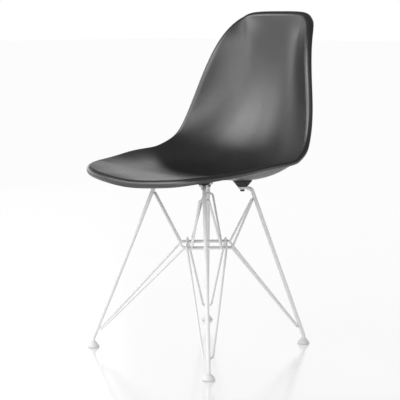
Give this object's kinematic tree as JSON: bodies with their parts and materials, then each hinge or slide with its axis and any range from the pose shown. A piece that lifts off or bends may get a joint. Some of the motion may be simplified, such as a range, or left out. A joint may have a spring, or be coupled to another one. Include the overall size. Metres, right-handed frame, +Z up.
{
  "type": "moulded plastic shell chair",
  "caption": "One-piece moulded plastic shell chair, black, on rubber shock mounts and a white welded wire base with crossing braces and self-levelling glides.",
  "frame": {"origin": "on the floor, in the middle of the chair's width and depth", "axes": "+Z up, the front of the seat towards -Y, the sitter's left towards +X"},
  "size_m": [0.467, 0.5437, 0.815],
  "materials": {
    "shell_plastic": "satin, with a fine moulded grain",
    "coated_steel": "white powder coat",
    "mount_rubber": "matte",
    "glide_plastic": "white, smooth",
    "zinc_steel": "zinc plated",
    "dark_steel": "blackened"
  },
  "bodies": {
    "chair": {"shell": "shell_plastic", "leg_front_left": "coated_steel", "leg_front_right": "coated_steel", "leg_rear_left": "coated_steel", "leg_rear_right": "coated_steel", "upper_brace_front_right_to_rear_left_rear": "coated_steel", "lower_brace_front_right_to_rear_left_rear": "coated_steel", "upper_brace_front_right_to_rear_left_front": "coated_steel", "lower_brace_front_right_to_rear_left_front": "coated_steel", "upper_brace_front_left_to_rear_right_rear": "coated_steel", "lower_brace_front_left_to_rear_right_rear": "coated_steel", "upper_brace_front_left_to_rear_right_front": "coated_steel", "lower_brace_front_left_to_rear_right_front": "coated_steel", "shock_mount_front_left": "mount_rubber", "shock_mount_front_right": "mount_rubber", "shock_mount_rear_left": "mount_rubber", "shock_mount_rear_right": "mount_rubber", "mount_inserts": "zinc_steel", "mount_washers": "zinc_steel", "mount_screws": "dark_steel"},
    "glide_front_left": {"glide_front_left": "glide_plastic"},
    "glide_front_right": {"glide_front_right": "glide_plastic"},
    "glide_rear_left": {"glide_rear_left": "glide_plastic"},
    "glide_rear_right": {"glide_rear_right": "glide_plastic"}
  },
  "joints": [
    {"name": "glide_tilt_front_left", "type": "hinge", "parent": "chair", "child": "glide_front_left", "pos_m": [0.193, -0.205, 0.0081], "axis": [0.6843, 0.7292, 0], "range_deg": [-5, 5]},
    {"name": "glide_tilt_front_right", "type": "hinge", "parent": "chair", "child": "glide_front_right", "pos_m": [-0.193, -0.205, 0.0081], "axis": [0.6843, -0.7292, 0], "range_deg": [-5, 5]},
    {"name": "glide_tilt_rear_left", "type": "hinge", "parent": "chair", "child": "glide_rear_left", "pos_m": [0.1635, 0.1725, 0.0081], "axis": [-0.7168, 0.6973, 0], "range_deg": [-5, 5]},
    {"name": "glide_tilt_rear_right", "type": "hinge", "parent": "chair", "child": "glide_rear_right", "pos_m": [-0.1635, 0.1725, 0.0081], "axis": [-0.7168, -0.6973, 0], "range_deg": [-5, 5]}
  ]
}
